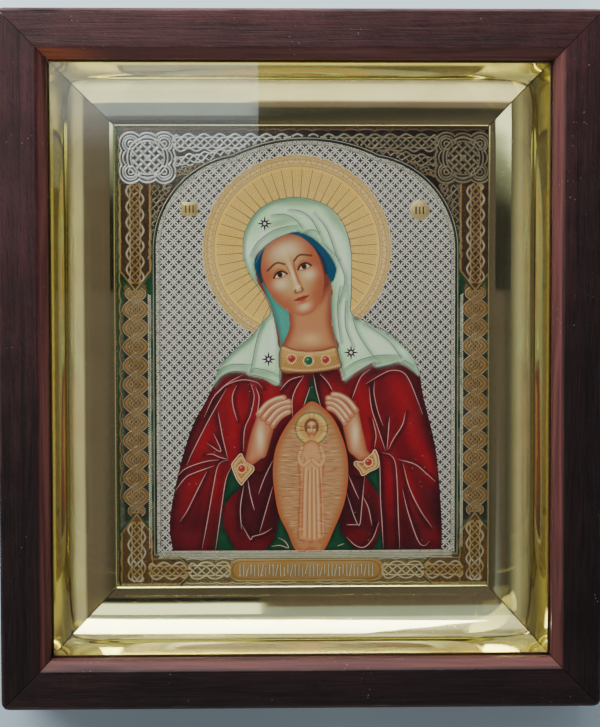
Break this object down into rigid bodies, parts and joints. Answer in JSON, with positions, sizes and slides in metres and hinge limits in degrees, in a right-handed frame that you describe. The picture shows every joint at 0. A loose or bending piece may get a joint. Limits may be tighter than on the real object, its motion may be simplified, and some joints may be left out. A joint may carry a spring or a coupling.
{
  "type": "glazed icon panel",
  "caption": "Embossed foil icon of a veiled woman, behind glass in a mitred, stained pine case with gilt cove strips; lies on its flat back.",
  "frame": {"origin": "middle of the case's footprint, on the plane of its back", "axes": "+X to the picture's right, +Y to the picture's top, +Z out of the picture towards a viewer"},
  "size_m": [0.24, 0.278, 0.042],
  "materials": {
    "stained_pine": "dark wine-brown stain under thin satin varnish, coarse sawn grain",
    "clear_glass": "clear flat picture glass",
    "gilt_card": "mirror-bright pale gold metallised film on thin card",
    "foil_print": "embossed silver and gold foil with a printed, painted picture",
    "fibreboard": "bare fibreboard",
    "hardboard": "bare brown hardboard"
  },
  "bodies": {
    "root": {"rail_top": "stained_pine", "rail_bottom": "stained_pine", "rail_left": "stained_pine", "rail_right": "stained_pine", "glass_pane": "clear_glass", "gold_slip_top": "gilt_card", "gold_slip_bottom": "gilt_card", "gold_slip_left": "gilt_card", "gold_slip_right": "gilt_card", "icon_print": "foil_print", "icon_board": "fibreboard", "back_panel": "hardboard"}
  },
  "joints": []
}
